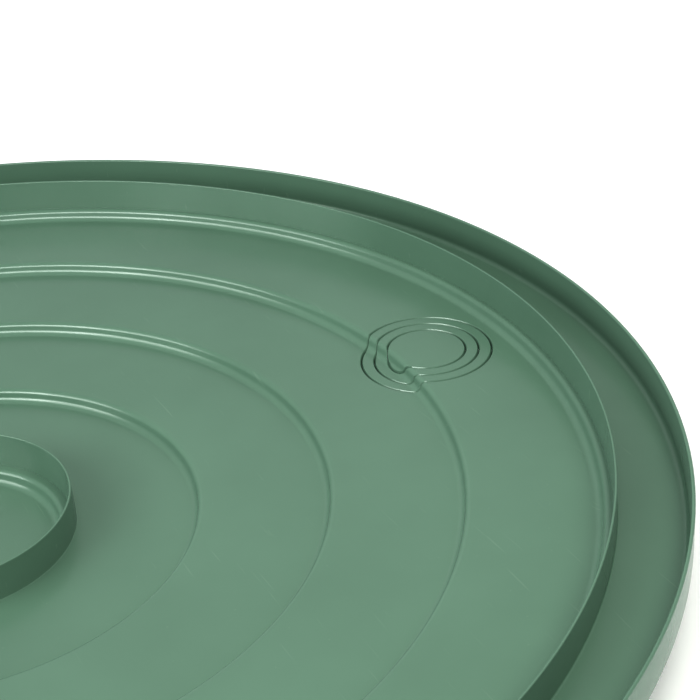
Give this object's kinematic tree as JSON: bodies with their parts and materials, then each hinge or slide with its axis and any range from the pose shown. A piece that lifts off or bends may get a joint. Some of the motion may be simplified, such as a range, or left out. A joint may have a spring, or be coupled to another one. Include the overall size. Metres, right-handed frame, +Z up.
{
  "type": "open head barrel lid",
  "caption": "Round moulded plastic lid for an open-head barrel, lying underside up, with terraced floor, rim groove, collar and pipe knock-outs.",
  "frame": {"origin": "on the lid's axis, at the lowest point of the crown that it lies on, underside up", "axes": "+Z up along the lid's axis, out of the dish of its underside; +X from the axis through the centre of the pipe knock-outs; +Y completes the right-handed frame"},
  "size_m": [1.01, 1.01, 0.0762],
  "materials": {
    "lid_green": "fine-textured moulded polypropylene, dark sage green, soft satin gloss",
    "plug_green": "the same moulded polypropylene as the lid, dark sage green, soft satin gloss"
  },
  "bodies": {
    "lid": {"crown_disc": "lid_green", "collar_terrace": "lid_green", "inner_terrace": "lid_green", "middle_terrace": "lid_green", "outer_terrace": "lid_green", "seat_ring": "lid_green", "outer_skirt": "lid_green", "inner_flange": "lid_green", "centre_collar": "lid_green"},
    "plug_100": {"knockout_100": "plug_green"},
    "plug_80": {"knockout_80": "plug_green"},
    "plug_60": {"knockout_60": "plug_green"}
  },
  "joints": [
    {"name": "lift_out_100", "type": "slide", "parent": "lid", "child": "plug_100", "axis": [0, 0, 1], "range_m": [0, 0.06]},
    {"name": "lift_out_80", "type": "slide", "parent": "plug_100", "child": "plug_80", "axis": [0, 0, 1], "range_m": [0, 0.06]},
    {"name": "lift_out_60", "type": "slide", "parent": "plug_80", "child": "plug_60", "axis": [0, 0, 1], "range_m": [0, 0.06]}
  ]
}
